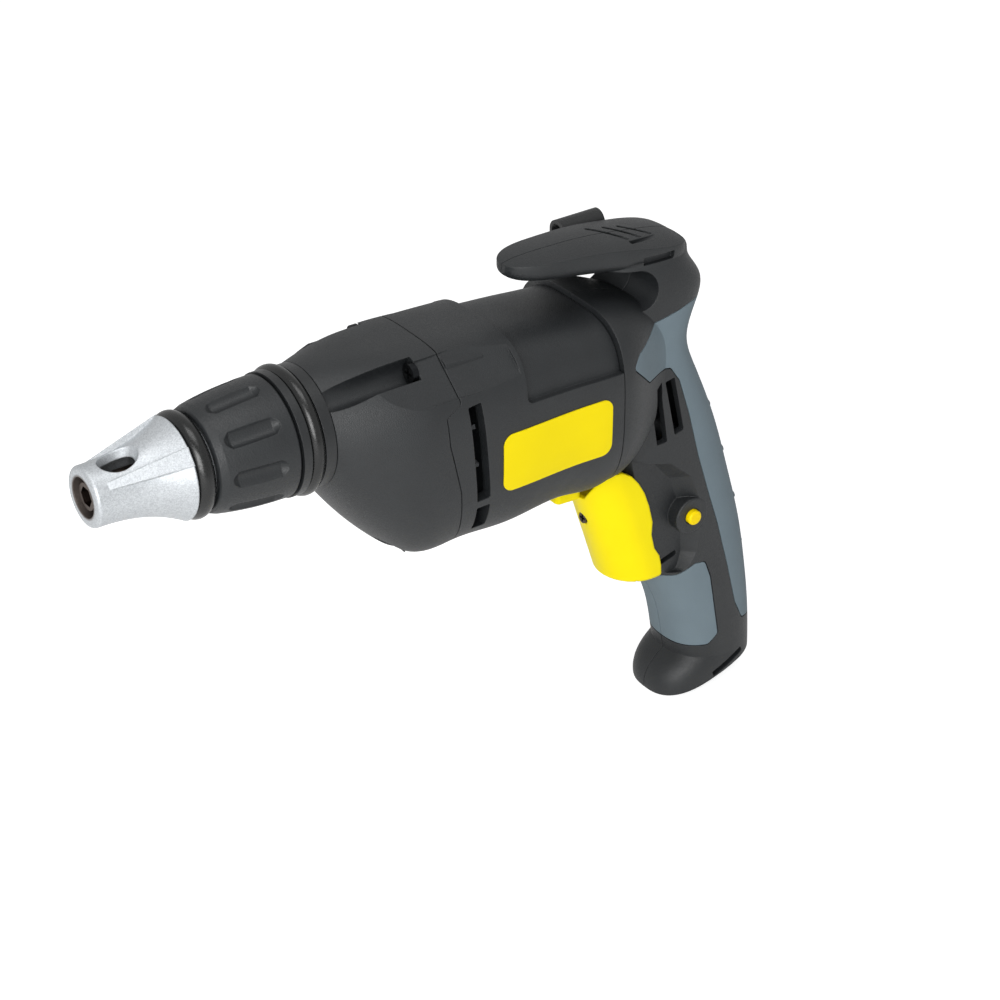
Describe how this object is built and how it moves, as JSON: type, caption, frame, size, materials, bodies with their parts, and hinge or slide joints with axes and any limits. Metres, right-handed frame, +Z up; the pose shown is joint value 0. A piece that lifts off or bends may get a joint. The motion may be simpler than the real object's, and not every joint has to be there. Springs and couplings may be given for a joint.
{
  "type": "drywall screwdriver",
  "caption": "Corded electric drywall screwdriver with a depth-setting nose cone, barrel motor housing, pistol handle with soft grips, trigger, belt hook and forward tail.",
  "frame": {"origin": "centre of the nose tip's front face, on the spindle axis", "axes": "+X runs back along the spindle from the nose tip to the handle, +Y is the tool's right hand side, +Z is up"},
  "size_m": [0.2858, 0.069, 0.2104],
  "materials": {
    "black_plastic": "fine moulded texture",
    "soft_grip": "soft overmould",
    "yellow_plastic": "fine moulded texture",
    "amber_plastic": "smooth",
    "label_yellow": "printed film, bare",
    "silver_paint": "silver metallic",
    "black_rubber": "satin",
    "dark_steel": "black oxide",
    "steel": "ground",
    "cast_aluminium": "die cast",
    "bronze": "sintered",
    "copper": "enamelled wire",
    "grey_plastic": "moulded",
    "carbon": "pressed carbon"
  },
  "bodies": {
    "housing": {"gear_housing": "black_plastic", "housing_screws": "dark_steel", "bearing_plate": "cast_aluminium", "motor_housing": "black_plastic", "side_labels": "label_yellow", "front_sleeve": "black_plastic", "collar_snap_ring": "steel", "collar_stop_ring": "black_plastic", "collar_bead_ring": "black_rubber", "spindle_seal": "black_rubber", "spindle_bearing": "bronze", "spindle_bush": "bronze", "thrust_washer": "steel", "front_bearing_outer_race": "steel", "rear_bearing_outer_race": "steel", "rear_bearing_boot": "black_rubber", "air_baffle": "black_plastic", "stator_core": "steel", "field_coils": "copper", "brush_holders": "black_plastic", "carbon_brushes": "carbon", "brush_springs": "steel", "cord_inlet_bush": "black_rubber", "handle_screws": "dark_steel", "cord_clamp": "black_plastic", "cord_clamp_screws": "dark_steel", "left_rear_grip": "soft_grip", "right_rear_grip": "soft_grip", "left_front_grip": "soft_grip", "right_front_grip": "soft_grip", "left_handle": "black_plastic", "right_handle": "black_plastic", "switch_body": "black_plastic", "capacitor": "grey_plastic", "belt_hook": "dark_steel", "belt_hook_screws": "dark_steel", "lock_spring": "steel"},
    "motor": {"motor_shaft": "steel", "front_bearing_inner_race": "steel", "rear_bearing_inner_race": "steel", "front_bearing_balls": "steel", "rear_bearing_balls": "steel", "cooling_fan": "grey_plastic", "rotor_core": "steel", "rotor_windings": "copper", "commutator": "copper"},
    "gear": {"drive_gear": "steel"},
    "spindle": {"spindle": "steel", "bit_holder": "dark_steel", "bit_magnet": "steel", "keeper_ball": "steel", "keeper_ring": "steel", "clutch_spring": "steel"},
    "collar": {"depth_collar": "black_plastic"},
    "nose": {"nose_cone": "silver_paint", "nose_ring": "black_rubber"},
    "trigger": {"trigger": "yellow_plastic"},
    "speed_dial": {"speed_dial": "dark_steel"},
    "reversing_lever": {"reversing_lever": "yellow_plastic"},
    "lock_button": {"lock_button": "amber_plastic"}
  },
  "joints": [
    {"name": "motor_spin", "type": "hinge", "parent": "housing", "child": "motor", "pos_m": [0.15, 0, -0.0192], "axis": [1, 0, 0], "continuous": true},
    {"name": "gear_spin", "type": "hinge", "parent": "housing", "child": "gear", "pos_m": [0.11, 0, 0], "axis": [1, 0, 0], "continuous": true},
    {"name": "spindle_push", "type": "slide", "parent": "gear", "child": "spindle", "axis": [1, 0, 0], "range_m": [0, 0.0028], "stiffness_N_per_m": 3000, "springref_m": -0.004, "deforming": ["clutch_spring"]},
    {"name": "collar_turn", "type": "hinge", "parent": "housing", "child": "collar", "pos_m": [0.056, 0, 0], "axis": [1, 0, 0], "range_deg": [0, 715]},
    {"name": "nose_advance", "type": "slide", "parent": "housing", "child": "nose", "axis": [-1, 0, 0], "range_m": [0, 0.006]},
    {"name": "trigger_pull", "type": "slide", "parent": "housing", "child": "trigger", "axis": [1, 0, 0], "range_m": [0, 0.0065], "stiffness_N_per_m": 1500, "springref_m": -0.004},
    {"name": "speed_dial_turn", "type": "hinge", "parent": "trigger", "child": "speed_dial", "pos_m": [0.2064, 0, -0.0808], "axis": [1, 0, 0], "range_deg": [-135, 135]},
    {"name": "reversing_lever_swing", "type": "hinge", "parent": "housing", "child": "reversing_lever", "pos_m": [0.208, 0, -0.06], "axis": [0, 0, 1], "range_deg": [-12, 12]},
    {"name": "lock_push", "type": "slide", "parent": "housing", "child": "lock_button", "axis": [0, 1, 0], "range_m": [0, 0.003], "stiffness_N_per_m": 800, "springref_m": -0.002, "deforming": ["lock_spring"]}
  ],
  "couplings": [
    {"joint": "gear_spin", "follows": "motor_spin", "ratio": -0.2},
    {"joint": "nose_advance", "follows": "collar_turn", "m_per_rad": 0.00047746}
  ]
}
